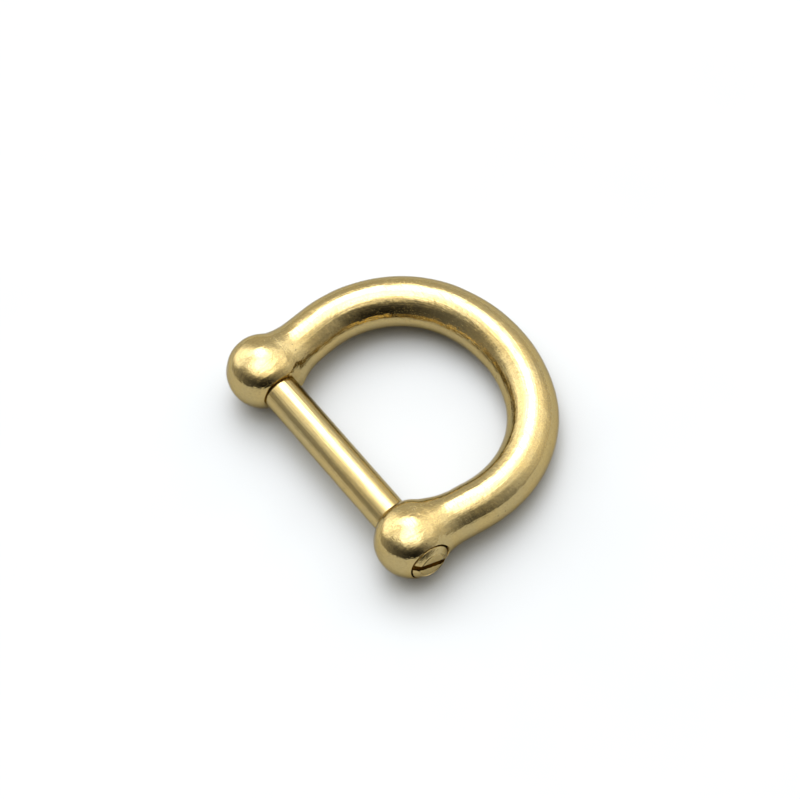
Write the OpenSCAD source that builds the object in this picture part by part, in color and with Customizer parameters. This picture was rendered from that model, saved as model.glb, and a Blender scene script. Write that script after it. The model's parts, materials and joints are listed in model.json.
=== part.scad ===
// Horseshoe buckle of solid brass: a round bow with a ball ear at each end,
// closed by a slotted screw pin that is the bar for a strap.
// Millimetres. The origin is the middle of the bar, on its axis: +X runs
// towards the slotted head, +Y towards the crown of the bow, +Z up.

/* [Bow] */
// Thickness of the round bow
bow_d = 5; // [4:0.1:6]
// Clear width between the faces of the two ears
inside_w = 19; // [17:0.5:26]
// Clear depth from the bar to the inside of the crown
inside_depth = 16; // [15:0.5:20]
// How much further out the bow runs than the middle of its ears
spread = 0.8; // [0.4:0.1:1.5]
// Distance from the bar's axis to the widest place of the bow
widest_y = 8.5; // [7.5:0.25:9.5]
// How full the shoulders are: their radius as a share of the room for it
fullness = 0.966; // [0.85:0.002:0.97]

/* [Ears] */
// Diameter of the ball ears
ear_d = 7.4; // [7:0.1:8]
// Radius of the hollow curve between an ear and the bow
neck_r = 7; // [4:0.25:8]
// Diameter of the swelling on the inner side of each neck
swell_d = 6.4; // [6:0.1:6.6]
// Width of the flat ring faced round the bar on the inside of each ear
face_ring = 0.12; // [0.1:0.01:0.3]

/* [Pin] */
// Diameter of the bar
bar_d = 3.8; // [3.4:0.05:4.2]
// Diameter of the slotted head
head_d = 4.1; // [4:0.05:4.6]
// Length of the head's straight side
head_side = 1.3; // [1:0.1:1.8]
// Height of the head's chamfer
head_rise = 0.4; // [0.2:0.05:0.6]
// Diameter of the head's flat end
head_flat_d = 3; // [2.4:0.1:3.4]
// Width of the screwdriver slot
slot_w = 0.6; // [0.4:0.05:0.9]
// Depth of the screwdriver slot
slot_depth = 0.8; // [0.5:0.05:1]
// Turn of the slot about the pin's axis, from the plane of the bow
slot_turn = -28; // [-90:1:90]

/* [Thread] */
// Outer diameter of the thread
thread_d = 3; // [2.6:0.1:3.2]
// Distance from one thread crest to the next
thread_pitch = 0.5; // [0.4:0.05:0.7]
// Number of thread crests
thread_turns = 8; // [6:1:8]

/* [Hidden] */
$fn = 96;

brass = [0.74, 0.62, 0.36];
brass_pin = [0.78, 0.66, 0.4];

// Clearances: round the bar and the thread, round the head, and end to end
fit_gap = 0.05;
head_gap = 0.1;
seat_gap = 0.05;

// Each shoulder is this much thinner all round than its neighbours and
// reaches this many degrees into them, so that the bow is one solid
hair = 0.01;
lap = 1;

bow_r = bow_d / 2;
ear_r = ear_d / 2;
bar_r = bar_d / 2;
head_r = head_d / 2;
thread_r = thread_d / 2;

// Inner faces of the ears, the mill that faces them, and the balls' middles
face_x = inside_w / 2;
face_r = bar_r + face_ring;
mill_r = ear_r - 0.5;
ear_x = face_x + sqrt(ear_r * ear_r - face_r * face_r);

// The bow's centre line, half of it: a straight leg, a shoulder and the crown
crown_y = bar_r + inside_depth + bow_r;
widest_x = ear_x + spread;
rise = crown_y - widest_y;
shoulder_r = fullness * min(rise, widest_x);
shoulder_cx = widest_x - shoulder_r;
crown_r = (rise * rise + shoulder_cx * shoulder_cx - shoulder_r * shoulder_r)
    / (2 * (rise - shoulder_r));
crown_cy = crown_y - crown_r;
crown_from = atan2(widest_y - crown_cy, shoulder_cx);

// The leg leaves the ear's middle and touches the shoulder's circle
reach = norm([shoulder_cx - ear_x, widest_y]);
leg_l = sqrt(reach * reach - shoulder_r * shoulder_r);
leg_turn = atan2(widest_y, shoulder_cx - ear_x) - asin(shoulder_r / reach) - 90;

// The swelling sits this far in from the ear's middle and this far up the leg.
// Its own neck runs out just under the leg's surface.
swell_in = 0.39;
swell_up = 1.4;
swell_r = swell_d / 2;
swell_wire = bow_r - swell_in - 0.1;

// Largest hollow radius that still runs out within a leg of length l
function hollow_room(ball, wire, l) = (l * l / (ball - wire) - ball - wire) / 2;
neck_hollow = min(neck_r, hollow_room(ear_r, bow_r, leg_l));
swell_hollow = min(neck_r - 1, hollow_room(swell_r, swell_wire, leg_l - swell_up));

// The bow leans down so that its crown rests level with the ears
lean = asin((ear_r - bow_r) / crown_y);

// Places along the pin's axis
head_end = ear_x + ear_r - 0.2;
head_side_end = head_end - head_rise;
head_start = head_side_end - head_side;
sink_floor = head_start - seat_gap;
bar_start = -face_x + seat_gap;
bar_edge = 0.2;
relief_w = 0.7;
relief_depth = 0.2;
thread_root_r = thread_r - 0.54 * thread_pitch;
thread_end = bar_start - (thread_turns + 1) * thread_pitch;

// Blind hole for the thread, with the cone that a drill leaves
blind_end = thread_end - 0.3;
drill_point = 118;

cut = 5;

// The crests and roots of the thread, from its free end to the bar
function thread_points() = concat(
    [[thread_end, 0], [thread_end, thread_root_r - 0.15]],
    [for (i = [0 : thread_turns - 1], half = [0, 1])
        [thread_end + (i + half / 2 + 0.5) * thread_pitch,
         half == 0 ? thread_root_r : thread_r]],
    [[bar_start - thread_pitch / 2, thread_root_r], [bar_start, thread_root_r]]);

// The bar, its chamfered end, the relief groove at the ear, and the head
function bar_points() = [
    [bar_start, bar_r - bar_edge],
    [bar_start + bar_edge, bar_r],
    [face_x, bar_r],
    [face_x, bar_r - relief_depth],
    [face_x + relief_w, bar_r - relief_depth],
    [face_x + relief_w, bar_r],
    [head_start, bar_r],
    [head_start, head_r],
    [head_side_end, head_r],
    [head_end, head_flat_d / 2],
    [head_end, 0]];

// Turns a shape that stands on Z so that it lies along X
module along_x() {
    rotate([0, 90, 0]) children();
}

// A straight hole of radius r along X, between two places on that axis
module hole(r, from, to) {
    translate([from, 0, 0]) along_x() cylinder(h = to - from, r = r);
}

// Half of the section through a ball on a round stem: the ball, the hollow
// curve that blends it into the stem, and the stem up to length l
module ball_section(ball, wire, hollow, l) {
    neck_y = sqrt(pow(ball + hollow, 2) - pow(wire + hollow, 2));
    intersection() {
        circle(ball);
        translate([0, -ball]) square(2 * ball);
    }
    difference() {
        polygon([[0, 0], [wire + hollow, neck_y], [0, neck_y]]);
        translate([wire + hollow, neck_y]) circle(hollow);
    }
    square([wire, l]);
}

module ball_on_stem(ball, wire, hollow, l) {
    rotate([-90, 0, 0]) rotate_extrude() ball_section(ball, wire, hollow, l);
}

// One ear with its leg, turned to meet the shoulder, and its inner swelling
module ear_and_leg() {
    translate([ear_x, 0, 0]) rotate([0, 0, leg_turn]) {
        ball_on_stem(ear_r, bow_r, neck_hollow, leg_l);
        translate([-swell_in, swell_up, 0])
            ball_on_stem(swell_r, swell_wire, swell_hollow, leg_l - swell_up - 0.05);
    }
}

// A stretch of round bar: an arc about a centre, between two angles
module bow_arc(centre, r, from, to, wire_r) {
    translate(centre) rotate([0, 0, from])
        rotate_extrude(angle = to - from) translate([r, 0]) circle(wire_r);
}

module half_bow() {
    ear_and_leg();
    bow_arc([shoulder_cx, widest_y, 0], shoulder_r, leg_turn - lap, crown_from + lap, bow_r - hair);
}

// The whole horseshoe before drilling
module bow_blank() {
    half_bow();
    mirror([1, 0, 0]) half_bow();
    bow_arc([0, crown_cy, 0], crown_r, crown_from, 180 - crown_from, bow_r);
}

// What is drilled and faced away for the pin
module pin_holes() {
    hole(mill_r, -face_x, face_x);
    hole(bar_r + fit_gap, face_x - cut, ear_x + ear_r + cut);
    hole(head_r + head_gap, sink_floor, ear_x + ear_r + cut);
    hole(thread_r + fit_gap, blind_end, -face_x + cut);
    translate([blind_end, 0, 0]) rotate([0, -90, 0])
        cylinder(h = (thread_r + fit_gap) / tan(drill_point / 2), r1 = thread_r + fit_gap, r2 = 0);
}

module bow() {
    color(brass) difference() {
        rotate([-lean, 0, 0]) bow_blank();
        pin_holes();
    }
}

module screw_pin() {
    color(brass_pin) difference() {
        along_x() rotate_extrude()
            polygon([for (p = concat(thread_points(), bar_points())) [p[1], p[0]]]);
        rotate([slot_turn, 0, 0]) translate([head_end - slot_depth, -cut, -slot_w / 2])
            cube([cut, 2 * cut, slot_w]);
    }
}

bow();
screw_pin();
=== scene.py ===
"""A brass horseshoe buckle on a pale table.

The bow is one casting: a horseshoe of round wire that swells into a ball ear at each end, bored for the pin.
The pin is turned: a threaded tip, a plain bar that carries the strap, and a slotted head sunk in its ear.
All lengths are in metres. +X runs along the pin to its head, +Y to the crown of the bow, +Z up."""
import json
from math import acos, asin, atan2, cos, hypot, pi, radians, sin, sqrt
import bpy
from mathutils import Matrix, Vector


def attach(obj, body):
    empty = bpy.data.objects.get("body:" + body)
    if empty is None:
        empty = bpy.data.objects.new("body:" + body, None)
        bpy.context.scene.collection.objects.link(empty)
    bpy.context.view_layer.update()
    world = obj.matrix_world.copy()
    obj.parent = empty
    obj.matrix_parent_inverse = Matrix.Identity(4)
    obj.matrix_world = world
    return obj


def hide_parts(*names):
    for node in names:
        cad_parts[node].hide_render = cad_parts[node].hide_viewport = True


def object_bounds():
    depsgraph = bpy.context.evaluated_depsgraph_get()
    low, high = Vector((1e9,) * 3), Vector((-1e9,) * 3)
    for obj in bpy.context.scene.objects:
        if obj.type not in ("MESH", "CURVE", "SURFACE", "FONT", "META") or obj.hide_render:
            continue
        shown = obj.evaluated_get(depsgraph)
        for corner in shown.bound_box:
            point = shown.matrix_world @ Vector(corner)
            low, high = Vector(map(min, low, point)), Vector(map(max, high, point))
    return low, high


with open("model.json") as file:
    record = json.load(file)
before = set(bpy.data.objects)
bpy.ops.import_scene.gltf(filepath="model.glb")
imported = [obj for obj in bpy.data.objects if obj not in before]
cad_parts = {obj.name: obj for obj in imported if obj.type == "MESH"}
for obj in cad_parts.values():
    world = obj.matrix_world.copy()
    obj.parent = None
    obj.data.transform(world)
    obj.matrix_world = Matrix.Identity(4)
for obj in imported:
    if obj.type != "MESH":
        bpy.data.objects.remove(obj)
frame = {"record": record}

from types import SimpleNamespace

import bmesh
import bpy
from bpy.props import FloatProperty, FloatVectorProperty, IntProperty, PointerProperty
from mathutils import Matrix, Vector

bl_info = {
    "name": "Horseshoe buckle",
    "version": (1, 0, 0),
    "blender": (4, 5, 0),
    "location": "View3D > Sidebar > Buckle",
    "description": "Models a cast horseshoe buckle and its slotted screw pin",
    "category": "Object",
}

CAD_BOX = [list(corner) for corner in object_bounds()]
BAR = next(m for m in frame["record"]["mounts"] if m["name"] == "strap_bar")

# The bow's corners carry their place along and across the straightened wire under this name
WIRE_PLACE = "wire_place"

# Clearances: round the bar and the thread, round the head, and between the bar's end and the far ear
FIT_GAP = 5e-5
HEAD_GAP = 1e-4
SEAT_GAP = 5e-5
# Radius that rounds the turned edges
EDGE_R = 4e-5
# The head, from its end inwards: below the ear's surface, chamfer, straight side, and the whole sink for it
HEAD_BELOW = 2e-4
HEAD_CHAMFER = 4e-4
HEAD_SIDE = 1.3e-3
SINK_DEPTH = 1.95e-3

# Mesh steps: faces over an ear and its neck, and face lengths on the leg, the bend and the pin
EAR_STEPS = 44
NECK_STEPS = 18
LEG_STEP = 1.8e-4
BEND_STEP = 2.1e-4
PIN_STEP = 3e-4
THREAD_STEPS = 72

# Soft unevenness of the casting: size of the waves, and share of the full depth
RIPPLES = ((0.0052, 1.0), (0.0019, 0.32))


# Sizes and colours ------------------------------------------------------

def length(name, description, millimetres, least=0.0):
    return FloatProperty(name=name, description=description, default=millimetres / 1000,
                         min=least / 1000, precision=5, unit="LENGTH")


def angle(name, description, degrees):
    return FloatProperty(name=name, description=description, default=radians(degrees), subtype="ANGLE")


def colour(name, description, value):
    return FloatVectorProperty(name=name, description=description, default=value,
                               size=3, min=0, max=1, subtype="COLOR")


class BowSizes(bpy.types.PropertyGroup):
    wire: length("Wire", "Thickness of the round bow", 5.0, 1)
    inside: length("Inside width", "Clear width between the two ears", 19.0, 5)
    depth: length("Inside depth", "Clear depth from the bar to the crown", 16.0, 5)
    ear: length("Ear", "Diameter of each ball ear", 7.4, 5)
    neck: length("Neck", "Radius of the hollow between an ear and the bow", 7.0)
    swell: length("Swelling", "How far the inner side of each neck stands in", 0.36)
    ridge: length("Inner ridge", "How far the inner side of the round wire is drawn out", 0.17)
    worn: length("Worn top", "How far polishing has flattened the top of each ear", 0.18)
    full: length("Full side", "How far the upper side of each ear stands out beyond a ball", 0.12)
    spread: length("Spread", "How far the bow swings out beyond the middle of its ears", 0.8)
    widest: length("Widest place", "Distance from the bar to the bow's widest place", 8.5)
    ring: length("Faced ring", "Width of the flat ring faced round the bar", 0.12)
    waviness: length("Waviness", "Depth of the soft unevenness that tumbling leaves", 0.035)
    fullness: FloatProperty(name="Fullness", description="Shoulder radius as a share of the room for it",
                            default=0.966, min=0.7, max=0.99)
    around: IntProperty(name="Round the wire", description="Faces round the wire", default=128, min=24)


class PinSizes(bpy.types.PropertyGroup):
    bar: length("Bar", "Diameter of the bar", 2 * BAR["dims"]["r_mm"], 1)
    head: length("Head", "Diameter of the slotted head", 4.1, 1)
    flat: length("Head flat", "Diameter of the flat on the head's end", 2.95)
    slot: length("Slot width", "Width of the screwdriver slot", 0.6)
    slot_depth: length("Slot depth", "Depth of the screwdriver slot", 0.8)
    thread: length("Thread", "Outer diameter of the thread", 3.0)
    pitch: length("Pitch", "Distance between two thread crests", 0.5)
    turns: IntProperty(name="Turns", description="Turns of the thread", default=8, min=1)
    slot_turn: angle("Slot turn", "Turn of the slot about the pin", -28)
    around: IntProperty(name="Round the pin", description="Faces round the pin", default=144, min=24)


class Finishes(bpy.types.PropertyGroup):
    cast: colour("Cast brass", "Colour of the tumbled casting", (0.492, 0.376, 0.156))
    turned: colour("Turned brass", "Colour of the turned pin", (0.510, 0.392, 0.166))
    tarnish: colour("Tarnish", "Colour that settles in hollows and pits", (0.13, 0.09, 0.035))
    table: colour("Table", "Colour of the table top", (0.524, 0.527, 0.499))


class Studio(bpy.types.PropertyGroup):
    turn: angle("Camera turn", "Turn of the camera round the buckle", 65.74)
    height: angle("Camera height", "Angle of the camera above the table", 58.11)
    roll: angle("Camera roll", "Roll of the camera about its own axis", -13.94)
    lens: FloatProperty(name="Lens", description="Focal length", default=180.0, min=1, unit="CAMERA")
    away: length("Distance", "Distance of the camera from the pin, along its view", 393.0, 10)
    aside: length("Shift right", "How far the camera stands to the right of the pin's middle", 6.27, -100)
    above: length("Shift up", "How far the camera stands above the pin's middle in the picture", 5.39, -100)


# Shared modelling steps -------------------------------------------------

def alone(piece):
    """Makes one piece active and alone selected."""
    bpy.ops.object.select_all(action="DESELECT")
    piece.select_set(True)
    bpy.context.view_layer.objects.active = piece


def placed():
    """Puts the place, turn and scale of the selected piece into its mesh, so that its origin is the world's."""
    bpy.ops.object.transform_apply(location=True, rotation=True, scale=True)


def edit(piece):
    """Opens one piece in edit mode."""
    if bpy.context.object and bpy.context.object.mode != "OBJECT":
        bpy.ops.object.mode_set(mode="OBJECT")
    alone(piece)
    bpy.ops.object.mode_set(mode="EDIT")
    bpy.ops.mesh.select_mode(type="VERT")


def done(piece):
    """Leaves edit mode, with the piece's origin at the world's."""
    bpy.ops.object.mode_set(mode="OBJECT")
    placed()
    return piece


def merged(piece, threshold):
    """Merges the corners of a finished piece that lie on each other."""
    edit(piece)
    bpy.ops.mesh.select_all(action="SELECT")
    bpy.ops.mesh.remove_doubles(threshold=threshold)
    done(piece)


def faced_out():
    """Points all faces of the piece in edit mode outwards."""
    bpy.ops.mesh.select_all(action="SELECT")
    bpy.ops.mesh.normals_make_consistent(inside=False)


def pick(piece, test):
    """Selects only the corners that the test accepts, and the edges and faces between them."""
    form = bmesh.from_edit_mesh(piece.data)
    for corner in form.verts:
        corner.select = bool(test(corner.co))
    form.select_mode = {"VERT"}
    form.select_flush_mode()
    bmesh.update_edit_mesh(piece.data)


def softly(size):
    """Settings of a transform that takes its surroundings along, up to a distance."""
    return {"use_proportional_edit": True, "proportional_edit_falloff": "SMOOTH", "proportional_size": size}


def section(name, points):
    """A line of edges through the points, drawn by extruding one corner from each to the next."""
    bpy.ops.object.select_all(action="DESELECT")
    bpy.ops.mesh.primitive_plane_add(size=1e-4, location=points[0])
    piece = bpy.context.active_object
    piece.name = piece.data.name = name
    placed()
    edit(piece)
    bpy.ops.mesh.select_all(action="SELECT")
    bpy.ops.mesh.merge(type="CENTER")
    for here, there in zip(points, points[1:]):
        step = tuple(Vector(there) - Vector(here))
        bpy.ops.mesh.extrude_vertices_move(TRANSFORM_OT_translate={"value": step})
    return piece


def turn_round(piece, axis, centre, around):
    """Turns the drawn section once round the axis, closes the poles and points the faces outwards."""
    bpy.ops.mesh.select_all(action="SELECT")
    bpy.ops.mesh.spin(steps=around, dupli=False, angle=2 * pi, use_auto_merge=True, center=centre, axis=axis)
    bpy.ops.mesh.select_all(action="SELECT")
    bpy.ops.mesh.remove_doubles(threshold=1e-7)
    bpy.ops.mesh.normals_make_consistent(inside=False)


def lathed(name, points, around):
    """A solid turned about the X axis from (x, radius) points that start and end on that axis."""
    piece = section(name, [(x, 0.0, r) for x, r in points])
    turn_round(piece, (1, 0, 0), (0, 0, 0), around)
    return done(piece)


def applied(piece, kind, **settings):
    """Adds one modifier, sets it and applies it."""
    alone(piece)
    modifier = piece.modifiers.new(kind.title(), kind)
    for name, value in settings.items():
        setattr(modifier, name, value)
    bpy.ops.object.modifier_apply(modifier=modifier.name)


def combined(piece, other, operation):
    """Cuts another piece away from one (DIFFERENCE) or joins it on (UNION), and removes the other."""
    applied(piece, "BOOLEAN", object=other, operation=operation, solver="EXACT")
    bpy.data.objects.remove(other)


def rounded(corner, before, after, radius, steps):
    """Points of a small arc that rounds a corner of a section, unless the corner is nearly straight."""
    nearly_straight, most_of_side = 0.02, 0.45
    c, b, a = Vector(corner), Vector(before), Vector(after)
    u, v = (b - c).normalized(), (a - c).normalized()
    half = acos(max(-1.0, min(1.0, u.dot(v)))) / 2
    if abs(half - pi / 2) < nearly_straight:
        return [tuple(corner)]
    slope = abs(sin(half) / cos(half))
    run = min(radius / slope, (b - c).length * most_of_side, (a - c).length * most_of_side)
    middle = c + (u + v).normalized() * (run * slope / sin(half))
    start, end = c + u * run - middle, c + v * run - middle
    turn = atan2(start.x * end.y - start.y * end.x, start.dot(end))
    return [tuple(middle + Matrix.Rotation(turn * k / steps, 2) @ start) for k in range(steps + 1)]


def softened(points, steps):
    """A section with every inner corner rounded."""
    out = [points[0]]
    for before, corner, after in zip(points, points[1:], points[2:]):
        out += rounded(corner, before, after, EDGE_R, steps)
    return out + [points[-1]]


def spaced(points, step):
    """A section with long straight stretches divided, so that the mesh is even."""
    out = [points[0]]
    for (x0, r0), (x1, r1) in zip(points, points[1:]):
        parts = max(1, round(hypot(x1 - x0, r1 - r0) / step))
        out += [(x0 + (x1 - x0) * k / parts, r0 + (r1 - r0) * k / parts) for k in range(1, parts + 1)]
    return out


# The bow ----------------------------------------------------------------

def bow_form(s):
    """The bow's centre line and ears, worked out from its sizes: a straight leg out of the ear,
    a shoulder arc that the leg touches, and a crown arc that goes on from the shoulder."""
    f = SimpleNamespace()
    bar_r = bpy.context.scene.pin_sizes.bar / 2
    f.wire_r, f.ear_r, f.face_x, f.neck_r = s.wire / 2, s.ear / 2, s.inside / 2, s.neck
    face_r = bar_r + s.ring
    f.ear_x = f.face_x + sqrt(f.ear_r ** 2 - face_r ** 2)
    f.crown_y = bar_r + s.depth + f.wire_r
    widest_x = f.ear_x + s.spread
    rise = f.crown_y - s.widest
    f.shoulder_r = s.fullness * min(rise, widest_x)
    f.shoulder = Vector((widest_x - f.shoulder_r, s.widest, 0))
    f.crown_r = (rise ** 2 + f.shoulder.x ** 2 - f.shoulder_r ** 2) / (2 * (rise - f.shoulder_r))
    f.crown = Vector((0, f.crown_y - f.crown_r, 0))
    f.crown_from = atan2(s.widest - f.crown.y, f.shoulder.x)
    reach = hypot(f.shoulder.x - f.ear_x, s.widest)
    f.leg = sqrt(reach ** 2 - f.shoulder_r ** 2)
    f.leg_turn = atan2(s.widest, f.shoulder.x - f.ear_x) - asin(f.shoulder_r / reach) - pi / 2
    f.neck_end = min(sqrt((f.ear_r + s.neck) ** 2 - (f.wire_r + s.neck) ** 2), f.leg)
    f.lean = asin((f.ear_r - f.wire_r) / f.crown_y)
    # the ear's middle, and the ways along the leg and out of the bow
    f.ear = Vector((f.ear_x, 0, 0))
    f.along = Vector((-sin(f.leg_turn), cos(f.leg_turn), 0))
    f.out = Vector((cos(f.leg_turn), sin(f.leg_turn), 0))
    return f


def ear_section(f):
    """(along, radius) points of an ear, its neck and the straight leg, along the leg."""
    blend = f.neck_end * f.ear_r / (f.ear_r + f.neck_r)
    end = acos(-blend / f.ear_r)
    out = [(-f.ear_r, 0.0)]
    for k in range(1, EAR_STEPS + 1):
        out.append((-f.ear_r * cos(end * k / EAR_STEPS), f.ear_r * sin(end * k / EAR_STEPS)))
    middle_t, middle_r = f.neck_end, f.wire_r + f.neck_r
    first, last = atan2(out[-1][1] - middle_r, out[-1][0] - middle_t), -pi / 2
    for k in range(1, NECK_STEPS + 1):
        turn = first + (last - first) * k / NECK_STEPS
        out.append((middle_t + f.neck_r * cos(turn), middle_r + f.neck_r * sin(turn)))
    steps = max(1, round((f.leg - f.neck_end) / LEG_STEP))
    return out + [(f.neck_end + (f.leg - f.neck_end) * k / steps, f.wire_r) for k in range(1, steps + 1)]


class BUCKLE_OT_bow(bpy.types.Operator):
    """Model the cast bow: one ear and half the horseshoe, mirrored, then bored and faced for the pin"""
    bl_idname = "buckle.bow"
    bl_label = "Model the bow"

    def execute(self, context):
        sizes = context.scene.bow_sizes
        f = bow_form(sizes)
        bow = section("bow_casting", [f.ear + f.along * t + f.out * r for t, r in ear_section(f)])
        turn_round(bow, f.along, f.ear, sizes.around)
        self.draw_inwards(bow, f, sizes)
        self.wear_ear(bow, f, sizes)
        self.bend(bow, f, sizes)

        # the bow leans until its crown and its ears lie on the table together
        bow.rotation_euler.x = -f.lean
        placed()

        for size, share in RIPPLES:
            ripple = bpy.data.textures.new("tumbled_ripple", "CLOUDS")
            ripple.noise_scale, ripple.noise_depth = size, 1
            applied(bow, "DISPLACE", texture=ripple, texture_coords="LOCAL",
                    strength=sizes.waviness * share * 2, mid_level=0.5)

        self.bore(bow, f, context.scene.pin_sizes)
        merged(bow, 2e-6)
        self.unroll(bow, f)
        bpy.ops.object.shade_smooth_by_angle(angle=radians(32))
        bow.data.materials.clear()
        bow.data.materials.append(cast_brass(context.scene.finishes))
        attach(bow, "bow")
        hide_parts("bow")
        return {"FINISHED"}

    def draw_inwards(self, bow, f, sizes):
        """Pulls the inner side of the leg and the neck in, with a soft falloff round each pull."""
        def inner(co, low, high, height, drop):
            """Whether a corner is on the inner side, between two places on the leg, near the middle plane."""
            t, r = (co - f.ear).dot(f.along), (co - f.ear).dot(f.out)
            return low < t < high and r < 0 and abs(co.z - drop * r) < height * abs(r)
        leg_strip = (1.5e-3, f.leg + 1e-5, 0.15, 0.15)
        neck_band = (2.38e-3, 2.62e-3, 0.75, 0.0)
        for amount, reach, where in ((sizes.ridge, 1.9e-3, leg_strip),
                                     (sizes.swell * 0.5, 2.9e-3, neck_band),
                                     (sizes.swell * 0.5, 3.8e-3, neck_band)):
            pick(bow, lambda co: inner(co, *where))
            bpy.ops.transform.translate(value=tuple(-f.out * amount), **softly(reach))

    def wear_ear(self, bow, f, sizes):
        """Fills the upper side of the ear and flattens its top, as wear in the tumbler does."""
        side_from, side_to, top_from, side_end = (share * f.ear_r for share in (0.60, 0.74, 0.955, 0.45))
        pick(bow, lambda co: side_from < co.z < side_to and (co - f.ear).dot(f.along) < side_end)
        wider = 1 + sizes.full / side_to
        bpy.ops.transform.resize(value=(wider, wider, 1), center_override=f.ear, **softly(1.3e-3))
        pick(bow, lambda co: co.z > top_from)
        bpy.ops.transform.translate(value=(0, 0, -sizes.worn), **softly(2.0e-3))

    def bend(self, bow, f, sizes):
        """Spins the leg's open end round the shoulder and on to the middle of the crown, and mirrors the half."""
        pick(bow, lambda co: abs((co - f.ear).dot(f.along) - f.leg) < 1e-6)
        for centre, radius, swept in ((f.shoulder, f.shoulder_r, f.crown_from - f.leg_turn),
                                      (f.crown, f.crown_r, pi / 2 - f.crown_from)):
            bpy.ops.mesh.spin(steps=round(radius * swept / BEND_STEP), dupli=False, angle=-swept,
                              use_auto_merge=False, center=centre, axis=(0, 0, 1))
        bpy.ops.mesh.select_all(action="SELECT")
        bpy.ops.mesh.remove_doubles(threshold=1e-7)
        done(bow)
        end = [v for v in bow.data.vertices if abs(v.co.x) < 2e-6]
        if len(end) < sizes.around or abs(max(v.co.y for v in end) - f.crown_y - f.wire_r) > 2e-5:
            raise RuntimeError("the half bow doesn't end at the middle of the crown")
        for v in end:
            v.co.x = 0.0
        applied(bow, "MIRROR", merge_threshold=2e-6)
        edit(bow)
        faced_out()
        done(bow)

    def bore(self, bow, f, pin):
        """Faces the ears inside, bores one through with a sink for the head, and bores the other blind."""
        bar_hole, sink, tap = pin.bar / 2 + FIT_GAP, pin.head / 2 + HEAD_GAP, pin.thread / 2 + FIT_GAP
        face, mill_r = f.face_x, f.ear_r - 5e-4
        mill = [(-face, 0), (-face, mill_r), (face, mill_r), (face, 0)]

        # the bar's hole with its edge broken, the seat of the head, and a mouth that is worn a little wider
        inside, edge = face - 1e-3, bar_hole + 6e-5
        seat_x = f.ear_x + f.ear_r - SINK_DEPTH
        mouth_x = f.ear_x + sqrt(f.ear_r ** 2 - sink ** 2)
        outside, wide = mouth_x + 1.5e-3, sink + 6e-4
        head_bore = [
            (inside, 0), (inside, edge), (face, edge), (face + 8e-5, bar_hole), (seat_x, bar_hole),
            (seat_x, sink), (mouth_x - 1.2e-4, sink), (mouth_x + 4e-5, sink + 1.1e-4),
            (mouth_x + 6e-4, wide), (outside, wide), (outside, 0)]

        # the blind hole: a lead-in whose cone starts clear of the face, so that no ring lies in the face's plane,
        # the rows of its thread, and the drill's point
        blind, lead, clear, rows, row_depth = face + 4.75e-3, 2.5e-4, 1.3e-4, 14, 6e-5
        row_step = blind - face - 4e-4
        lead_r = tap + lead + clear
        blind_bore = [(-face + 1e-3, 0), (-face + 1e-3, lead_r), (-face + clear, lead_r), (-face - lead, tap)]
        for k in range(rows):
            x = -face - lead - (k + 1) * row_step / (rows + 1)
            blind_bore.append((x, tap - (row_depth if k % 2 else 0)))
        blind_bore += [(-blind, tap), (-blind - tap * 0.6, 0)]

        for name, points in (("face_mill", mill), ("head_bore", softened(head_bore, 2)),
                             ("blind_bore", blind_bore)):
            combined(bow, lathed(name, points, pin.around), "DIFFERENCE")

    def unroll(self, bow, f):
        """Stores each corner's place as if the wire were pulled straight, for lines that follow the wire."""
        to_crown = f.leg + f.shoulder_r * (f.crown_from - f.leg_turn)
        half = to_crown + f.crown_r * (pi / 2 - f.crown_from)
        level = Matrix.Rotation(f.lean, 3, "X")
        straight = bow.data.attributes.new(WIRE_PLACE, "FLOAT_VECTOR", "POINT")
        for corner, place in zip(bow.data.vertices, straight.data):
            co = level @ corner.co
            flat = Vector((abs(co.x), co.y, 0))
            run, off = (flat - f.ear).dot(f.along), (flat - f.ear).dot(f.out)
            if run > f.leg:
                spoke = flat - f.shoulder
                swept = atan2(spoke.y, spoke.x)
                run, off = f.leg + f.shoulder_r * (swept - f.leg_turn), spoke.length - f.shoulder_r
                if swept > f.crown_from:
                    spoke = flat - f.crown
                    run = to_crown + f.crown_r * (atan2(spoke.y, spoke.x) - f.crown_from)
                    off = spoke.length - f.crown_r
            place.vector = (run if co.x > 0 else 2 * half - run, off, co.z)


# The pin ----------------------------------------------------------------

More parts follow.
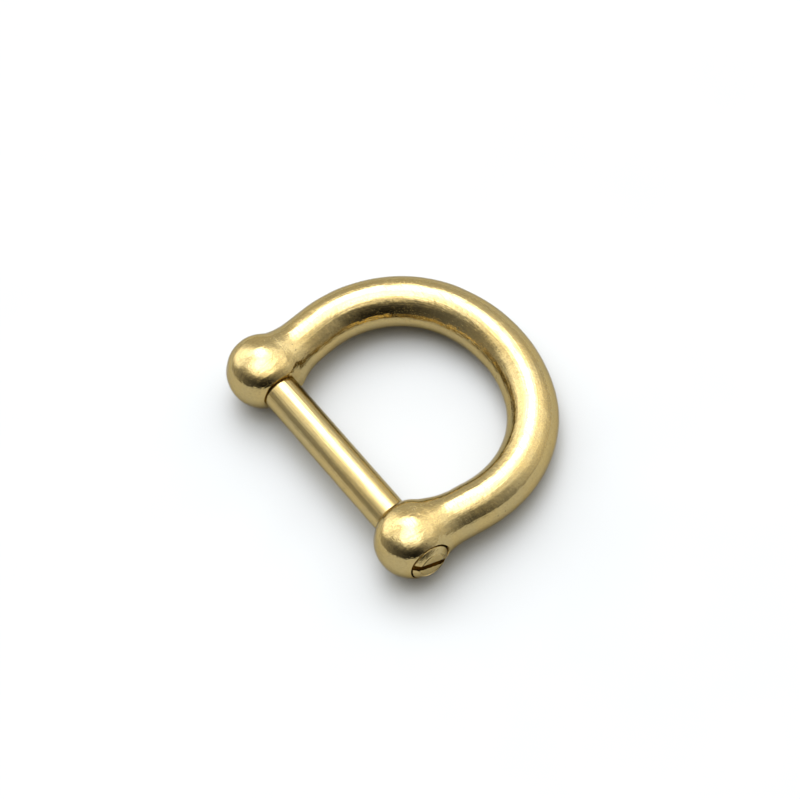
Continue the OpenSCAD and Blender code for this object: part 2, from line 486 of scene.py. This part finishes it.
class BUCKLE_OT_pin(bpy.types.Operator):
    """Model the turned screw pin: threaded tip, bar, relief behind the ear and slotted head"""
    bl_idname = "buckle.pin"
    bl_label = "Model the pin"

    def execute(self, context):
        p = context.scene.pin_sizes
        f = bow_form(context.scene.bow_sizes)
        bar, head, flat, face = p.bar / 2, p.head / 2, p.flat / 2, f.face_x
        end = f.ear_x + f.ear_r - HEAD_BELOW
        side_end = end - HEAD_CHAMFER
        side_start = side_end - HEAD_SIDE
        start = -face + SEAT_GAP
        root = p.thread / 2 - 0.54 * p.pitch
        tip = start - (p.turns + 1) * p.pitch
        shank = [
            # the threaded tip's core, and the shoulder with a broken edge where the bar starts
            (tip, 0), (tip, root - 1.5e-4), (tip + 1.5e-4, root), (start - 2e-5, root),
            (start - 2e-5, bar - 2.0e-4), (start, bar - 1.0e-4), (start + 9e-5, bar),
            # the relief groove just inside the near ear
            (face + 5e-5, bar), (face + 1.5e-4, bar - 2e-4), (face + 6e-4, bar - 2e-4), (face + 7e-4, bar),
            # the head with its chamfer, and the line that the turning tool left on its end
            (side_start, bar), (side_start, head), (side_end, head), (end, flat), (end - 9e-5, flat - 4e-5),
            (end - 9e-5, flat - 1.3e-4), (end - 1e-5, flat - 1.9e-4), (end - 1e-5, 0)]
        pin = lathed("strap_pin", spaced(softened(shank, 3), PIN_STEP), p.around)
        combined(pin, self.saw(p, end), "DIFFERENCE")
        combined(pin, self.thread(p, tip, start, root), "UNION")
        merged(pin, 1e-6)
        bpy.ops.object.shade_smooth_by_angle(angle=radians(28))
        pin.data.materials.clear()
        pin.data.materials.append(turned_brass(context.scene.finishes))
        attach(pin, "pin")
        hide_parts("screw_pin")
        return {"FINISHED"}

    def saw(self, p, end):
        """The block that cuts the screwdriver slot: saw marks along one wall, and a slightly worn mouth."""
        cuts, mark_depth, worn = 36, 6e-5, 1.5
        bpy.ops.mesh.primitive_cube_add(size=1, location=(end, 0, 0))
        saw = bpy.context.active_object
        saw.scale = (2 * p.slot_depth, 3 * p.head, p.slot)
        placed()
        edit(saw)
        bpy.ops.mesh.select_all(action="SELECT")
        bpy.ops.mesh.subdivide(number_cuts=cuts)
        tooth = 3 * p.head / (cuts + 1)
        pick(saw, lambda co: co.z < -0.49 * p.slot and round(co.y / tooth + 0.5) % 2 == 0)
        bpy.ops.transform.translate(value=(0, 0, -mark_depth))
        pick(saw, lambda co: co.x > end + 1e-5)
        bpy.ops.transform.resize(value=(1, 1, worn), center_override=(end, 0, 0))
        done(saw)
        saw.rotation_euler.x = p.slot_turn
        placed()
        return saw

    def thread(self, p, tip, start, root):
        """A right-hand ridge that winds along the root of the pin, made by screwing its section."""
        crest, low, below, pitch = p.thread / 2, root - 6e-5, root - 6e-5 - 1.5e-4, p.pitch
        # places along the pin, in pitches, with their radii
        ridge = [(0.03, low), (0.07, root), (0.42, crest), (0.58, crest), (0.93, root), (0.97, low),
                 (0.80, below), (0.20, below)]
        begin = (tip + start) / 2 + p.turns * pitch / 2
        piece = section("thread", [(begin + x * pitch, 0.0, r) for x, r in ridge])
        bpy.ops.mesh.select_all(action="SELECT")
        bpy.ops.mesh.edge_face_add()
        bpy.ops.mesh.delete(type="ONLY_FACE")
        done(piece)
        applied(piece, "SCREW", axis="X", angle=2 * pi, screw_offset=-pitch, iterations=p.turns - 1,
                steps=THREAD_STEPS, render_steps=THREAD_STEPS, use_merge_vertices=False)
        edit(piece)
        bpy.ops.mesh.select_all(action="DESELECT")
        bpy.ops.mesh.select_non_manifold(extend=False)
        bpy.ops.mesh.fill_holes(sides=0)
        faced_out()
        return done(piece)


# Finishes ---------------------------------------------------------------

class Recipe:
    """Lays out a shader or a node group, one node after the other."""

    def __init__(self, tree):
        self.tree, self.place = tree, 0

    def put(self, socket, value):
        """Links a socket to another, or sets it to a constant."""
        if isinstance(value, bpy.types.NodeSocket):
            self.tree.links.new(value, socket)
        else:
            socket.default_value = value

    def node(self, kind, settings=None, **inputs):
        """Adds a node. Its inputs go by name, with _ for a space, or by number as i0, i1."""
        n = self.tree.nodes.new(kind)
        n.location = (self.place * 180, -(self.place % 4) * 160)
        self.place += 1
        for name, value in (settings or {}).items():
            setattr(n, name, value)
        for name, value in inputs.items():
            numbered = name[0] == "i" and name[1:].isdigit()
            self.put(n.inputs[int(name[1:]) if numbered else name.replace("_", " ")], value)
        return n

    def maths(self, operation, a, b=0.0, clamp=False):
        settings = {"operation": operation, "use_clamp": clamp}
        return self.node("ShaderNodeMath", settings, i0=a, i1=b).outputs[0]

    def times(self, a, b):
        return self.maths("MULTIPLY", a, b)

    def span(self, value, low, high, to_low=0.0, to_high=1.0):
        """Carries a value smoothly from one range to another."""
        return self.node("ShaderNodeMapRange", {"interpolation_type": "SMOOTHSTEP"}, Value=value, From_Min=low,
                         From_Max=high, To_Min=to_low, To_Max=to_high).outputs[0]

    def noise(self, where, scale, detail=2.0, rough=0.5):
        return self.node("ShaderNodeTexNoise", None, Vector=where, Scale=scale, Detail=detail,
                         Roughness=rough).outputs["Fac"]

    def stretched(self, where, scale, turn=(0, 0, 0)):
        return self.node("ShaderNodeMapping", {"vector_type": "POINT"}, Vector=where, Scale=scale,
                         Rotation=turn).outputs[0]

    def blend(self, share, a, b):
        """Mixes two colours."""
        settings = {"data_type": "RGBA", "clamp_factor": True}
        return self.node("ShaderNodeMix", settings, i0=share, i6=a, i7=b).outputs[2]

    def surface(self, shader, height, strength, distance):
        """Gives a shader its bump and leads it to the material's output."""
        bump = self.node("ShaderNodeBump", None, Strength=strength, Distance=distance, Height=height)
        self.put(shader.inputs["Normal"], bump.outputs[0])
        self.node("ShaderNodeOutputMaterial", None, Surface=shader.outputs[0])


def recipe_of(owner):
    """An empty recipe for a new material or world."""
    owner.use_nodes = True
    owner.node_tree.nodes.clear()
    return Recipe(owner.node_tree)


def tinted(base, *shares):
    """A colour with full alpha, times one share or a share for each channel."""
    shares = shares or (1.0,)
    return [min(1.0, c * k) for c, k in zip(base, shares * 3 if len(shares) == 1 else shares)] + [1.0]


def effect(name, inputs, outputs, build):
    """A shared node group, made once. It has a Place input, and others with their defaults."""
    if name in bpy.data.node_groups:
        return bpy.data.node_groups[name]
    group = bpy.data.node_groups.new(name, "ShaderNodeTree")
    group.interface.new_socket(name="Place", in_out="INPUT", socket_type="NodeSocketVector")
    for label, default in inputs.items():
        socket = group.interface.new_socket(name=label, in_out="INPUT", socket_type="NodeSocketFloat")
        socket.default_value = default
    for label in outputs:
        group.interface.new_socket(name=label, in_out="OUTPUT", socket_type="NodeSocketFloat")
    recipe = Recipe(group)
    entry, leave = recipe.node("NodeGroupInput"), recipe.node("NodeGroupOutput")
    for label, socket in build(recipe, entry.outputs).items():
        recipe.put(leave.inputs[label], socket)
    return group


def pitted():
    """Small casting pits that polishing left, in patches: a mask and a height."""
    def build(r, i):
        cells = r.node("ShaderNodeTexVoronoi", {"feature": "F1"}, Vector=i["Place"], Scale=i["Scale"],
                       Randomness=1.0)
        pit = r.span(cells.outputs["Distance"], 0.10, 0.19, 1.0, 0.0)
        patch = r.span(r.noise(i["Place"], 310.0, 1.0), 0.50, 0.66)
        chance = r.node("ShaderNodeSeparateColor", None, Color=cells.outputs["Color"]).outputs[0]
        mask = r.times(r.times(pit, r.span(chance, 0.62, 0.70)), patch)
        return {"Mask": mask, "Height": r.times(mask, -1.0)}
    return effect("casting_pits", {"Scale": 1700.0}, ("Mask", "Height"), build)


def hairlines():
    """Fine scratches in three crossing directions, each in patches of its own."""
    def build(r, i):
        total = None
        for turn, amount in (((0.3, 0.2, 0.5), 1.0), ((1.1, -0.6, 2.0), 0.8), ((-0.7, 0.9, 3.4), 0.7)):
            lines = r.noise(r.stretched(i["Place"], (420.0, 9000.0, 9000.0), turn), 1.0, 1.0)
            patch = r.noise(r.stretched(i["Place"], (600.0, 600.0, 600.0), turn), 1.0, 0.0)
            line = r.times(r.span(lines, 0.66, 0.72, 0.0, amount), r.span(patch, 0.50, 0.62))
            total = line if total is None else r.maths("MAXIMUM", total, line)
        return {"Mask": r.times(total, i["Amount"])}
    return effect("hairline_scratches", {"Amount": 1.0}, ("Mask",), build)


def mottled():
    """Changes of tone and polish over the metal: waves of about 4 mm, of 0.5 mm, and a fine grain."""
    def build(r, i):
        broad = r.noise(i["Place"], 260.0, 3.0, 0.55)
        fine = r.noise(i["Place"], 1900.0, 3.0, 0.6)
        grain = r.noise(i["Place"], 5200.0, 2.0, 0.6)
        return {"Broad": r.span(broad, 0.32, 0.68), "Fine": r.span(fine, 0.3, 0.7), "Grain": grain}
    return effect("mottling", {}, ("Broad", "Fine", "Grain"), build)


def brass(name, base, tarnish, polish, pits, scratches):
    """Polished brass up to its drawn lines. polish is the roughness of its clean and its dull places."""
    m = SimpleNamespace(material=bpy.data.materials.new(name), base=base)
    m.r = r = recipe_of(m.material)
    m.place = r.node("ShaderNodeTexCoord").outputs["Object"]
    mottle = r.node("ShaderNodeGroup", {"node_tree": mottled()}, Place=m.place).outputs
    pit = r.node("ShaderNodeGroup", {"node_tree": pitted()}, Place=m.place).outputs
    scratch = r.node("ShaderNodeGroup", {"node_tree": hairlines()}, Place=m.place, Amount=scratches).outputs
    m.grain, m.pit, m.scratch = mottle["Grain"], pit["Height"], scratch["Mask"]

    # colour: warmer and cooler fields, dull flecks, darker grain, and tarnish in scratches and pits
    tone = r.blend(mottle["Broad"], tinted(base, 0.93, 0.955, 1.0), tinted(base, 1.05, 1.01, 0.90))
    tone = r.blend(r.times(mottle["Fine"], 0.16), tone, tinted(base, 0.80))
    tone = r.blend(r.span(m.grain, 0.36, 0.62, 0.0, 0.34), tone, tinted(base, 0.72, 0.66, 0.62))
    tone = r.blend(r.times(m.scratch, 0.30), tone, tinted(tarnish))
    m.tone = r.blend(r.times(pit["Mask"], pits), tone, tinted(tarnish))

    rough = r.span(mottle["Broad"], 0.0, 1.0, *polish)
    rough = r.maths("ADD", rough, r.times(mottle["Fine"], 0.035))
    rough = r.maths("ADD", rough, r.times(m.scratch, 0.10))
    m.rough = r.maths("ADD", rough, r.times(pit["Mask"], 0.22 * pits), True)
    return m


def finish_brass(m, streak, share, darker, duller, layers):
    """Adds polishing lines to the colour and the polish, and the layers of relief, each with its height
    in hundredths of a millimetre."""
    r = m.r
    tone = r.blend(r.times(streak, share), m.tone, tinted(m.base, darker))
    rough = r.maths("ADD", m.rough, r.times(streak, duller), True)
    height = None
    for layer, amount in layers:
        layer = r.times(layer, amount)
        height = layer if height is None else r.maths("ADD", height, layer)
    shader = r.node("ShaderNodeBsdfPrincipled", None, Base_Color=tone, Roughness=rough, Metallic=1.0,
                    Specular_Tint=(0.52, 0.47, 0.36, 1.0), Coat_Weight=0.35, Coat_Roughness=0.08)
    r.surface(shader, height, 1.0, 1e-5)
    return m.material


def cast_brass(c):
    """The tumbled casting: soft peel and dents, and lines that follow the wire."""
    m = brass("cast_brass", c.cast, c.tarnish, (0.045, 0.10), 0.9, 0.8)
    r = m.r
    wire = r.node("ShaderNodeAttribute", {"attribute_name": WIRE_PLACE}).outputs["Vector"]
    drawn = r.noise(r.stretched(wire, (110.0, 3000.0, 3000.0)), 1.0, 3.0, 0.6)
    peel = r.noise(m.place, 620.0, 2.0, 0.5)
    dents = r.noise(m.place, 2300.0, 2.0, 0.55)
    return finish_brass(m, r.span(drawn, 0.52, 0.64), 0.26, 0.74, 0.03, (
        (peel, 5.5), (dents, 1.9), (drawn, 2.6), (m.grain, 0.7), (m.pit, 0.8), (m.scratch, -0.8)))


def turned_brass(c):
    """The turned pin: long soft peel, and lines that follow the bar."""
    m = brass("turned_brass", c.turned, c.tarnish, (0.045, 0.09), 0.7, 0.6)
    r = m.r
    drawn = r.noise(r.stretched(m.place, (70.0, 3600.0, 3600.0)), 1.0, 4.0, 0.62)
    peel = r.noise(r.stretched(m.place, (260.0, 800.0, 800.0)), 1.0, 1.0, 0.45)
    return finish_brass(m, r.span(drawn, 0.50, 0.62), 0.42, 0.72, 0.05, (
        (drawn, 4.0), (peel, 2.4), (m.grain, 0.5), (m.pit, 0.5), (m.scratch, -0.5)))


# The table, the light and the camera -------------------------------------

def table_top(base):
    """A matt pale top with faint clouds and a fine grain."""
    material = bpy.data.materials.new("pale_table")
    r = recipe_of(material)
    place = r.node("ShaderNodeTexCoord").outputs["Object"]
    cloud = r.span(r.noise(place, 14.0, 2.0), 0.3, 0.7)
    grain = r.noise(place, 5200.0, 2.0)
    tone = r.blend(cloud, tinted(base, 0.985), tinted(base))
    rough = r.span(r.noise(place, 90.0, 2.0), 0.3, 0.7, 0.62, 0.72)
    shader = r.node("ShaderNodeBsdfPrincipled", None, Base_Color=tone, Roughness=rough)
    r.surface(shader, grain, 0.3, 2e-5)
    return material


def heading(turn, height):
    """Direction from a compass turn (0 is +Y, 90 is +X) and an angle above the table, in degrees."""
    a, e = radians(turn), radians(height)
    return (sin(a) * cos(e), cos(a) * cos(e), sin(e))


# Light that comes from everywhere in the room
FAINT_LIGHT = 0.200
# Soft lights of the room: turn, height, full within, gone beyond (degrees), strength
SOFT_LIGHTS = (
    (-68, 69, 20, 37, 2.70),
    (-56, 55, 8, 20, 2.2),
    (30, 70, 43, 74, 0.61),
    (-29, -19, 60, 170, 0.58),
    (-106, 34, 8, 36, 2.1),
    (-2, 63, 27, 42, 0.80),
    (101, 77, 16, 28, 2.1),
)
# Dim parts of the room: turn, height, gone beyond (degrees), share of the light taken
DIM_PARTS = (
    (108, 27, 90, 0.87),
    (113, 13, 42, 0.62),
    (-111, 56, 22, 0.62),
)
# Tints of the faint and of the strong light
FAINT_TINT = (1.0, 0.995, 0.985, 1.0)
STRONG_TINT = (0.955, 0.99, 1.10, 1.0)


def room_light():
    """Lights the scene with a world of soft lobes."""
    world = bpy.data.worlds.new("soft_room")
    r = recipe_of(world)
    bpy.context.scene.world = world
    way = r.node("ShaderNodeTexCoord").outputs["Generated"]

    def away_from(turn, height):
        dot = r.node("ShaderNodeVectorMath", {"operation": "DOT_PRODUCT"}, i0=way, i1=heading(turn, height))
        return r.maths("ARCCOSINE", dot.outputs["Value"])

    total = FAINT_LIGHT
    for turn, height, inner, outer, strength in SOFT_LIGHTS:
        share = r.span(away_from(turn, height), radians(inner), radians(outer), strength, 0.0)
        total = r.maths("ADD", share, total)
    for turn, height, outer, taken in DIM_PARTS:
        total = r.times(total, r.span(away_from(turn, height), 0.0, radians(outer), 1.0 - taken, 1.0))
    tint = r.blend(r.span(total, 0.8, 4.5), FAINT_TINT, STRONG_TINT)
    back = r.node("ShaderNodeBackground", None, Color=tint, Strength=total)
    r.node("ShaderNodeOutputWorld", None, Surface=back.outputs[0])


class BUCKLE_OT_stage(bpy.types.Operator):
    """Set the pale table, the soft light and the camera"""
    bl_idname = "buckle.stage"
    bl_label = "Set the stage"

    def execute(self, context):
        scene, s = context.scene, context.scene.studio
        bpy.ops.object.select_all(action="DESELECT")
        bpy.ops.mesh.primitive_grid_add(x_subdivisions=8, y_subdivisions=8, size=3.0,
                                        location=(0, 0, CAD_BOX[0][2]))
        table = bpy.context.active_object
        table.name = "table_top"
        placed()
        table.data.materials.append(table_top(scene.finishes.table))
        room_light()

        back = Vector((sin(s.turn) * cos(s.height), -cos(s.turn) * cos(s.height), sin(s.height)))
        level = Vector((cos(s.turn), sin(s.turn), 0))
        up = back.cross(level)
        right = cos(s.roll) * level + sin(s.roll) * up
        top = -sin(s.roll) * level + cos(s.roll) * up
        eye = s.aside * right + s.above * top + s.away * back
        lens = bpy.data.cameras.new("camera")
        lens.lens, lens.sensor_width, lens.clip_start, lens.clip_end = s.lens, 36.0, 0.01, 20.0
        camera = bpy.data.objects.new("camera", lens)
        scene.collection.objects.link(camera)
        camera.matrix_world = Matrix.Translation(eye) @ Matrix((right, top, back)).transposed().to_4x4()
        scene.camera = camera
        scene.view_settings.view_transform = "Standard"
        return {"FINISHED"}


class BUCKLE_PT_sidebar(bpy.types.Panel):
    """Lists the buckle's pieces, sizes and finishes"""
    bl_idname = "BUCKLE_PT_sidebar"
    bl_label = "Horseshoe buckle"
    bl_space_type = "VIEW_3D"
    bl_region_type = "UI"
    bl_category = "Buckle"

    def draw(self, context):
        for title, name, operator in (("Bow", "bow_sizes", BUCKLE_OT_bow), ("Pin", "pin_sizes", BUCKLE_OT_pin),
                                      ("Studio", "studio", BUCKLE_OT_stage), ("Finishes", "finishes", None)):
            box = self.layout.box()
            box.label(text=title)
            group = getattr(context.scene, name)
            for label in group.__annotations__:
                box.prop(group, label)
            if operator:
                box.operator(operator.bl_idname)


CLASSES = (BowSizes, PinSizes, Finishes, Studio, BUCKLE_OT_bow, BUCKLE_OT_pin, BUCKLE_OT_stage, BUCKLE_PT_sidebar)
GROUPS = {"bow_sizes": BowSizes, "pin_sizes": PinSizes, "finishes": Finishes, "studio": Studio}


def register():
    for cls in CLASSES:
        bpy.utils.register_class(cls)
    for name, group in GROUPS.items():
        setattr(bpy.types.Scene, name, PointerProperty(type=group))


def unregister():
    for name in GROUPS:
        delattr(bpy.types.Scene, name)
    for cls in reversed(CLASSES):
        bpy.utils.unregister_class(cls)


def main():
    register()
    bpy.ops.buckle.stage()
    bpy.ops.buckle.bow()
    bpy.ops.buckle.pin()


if __name__ == "__main__":
    main()
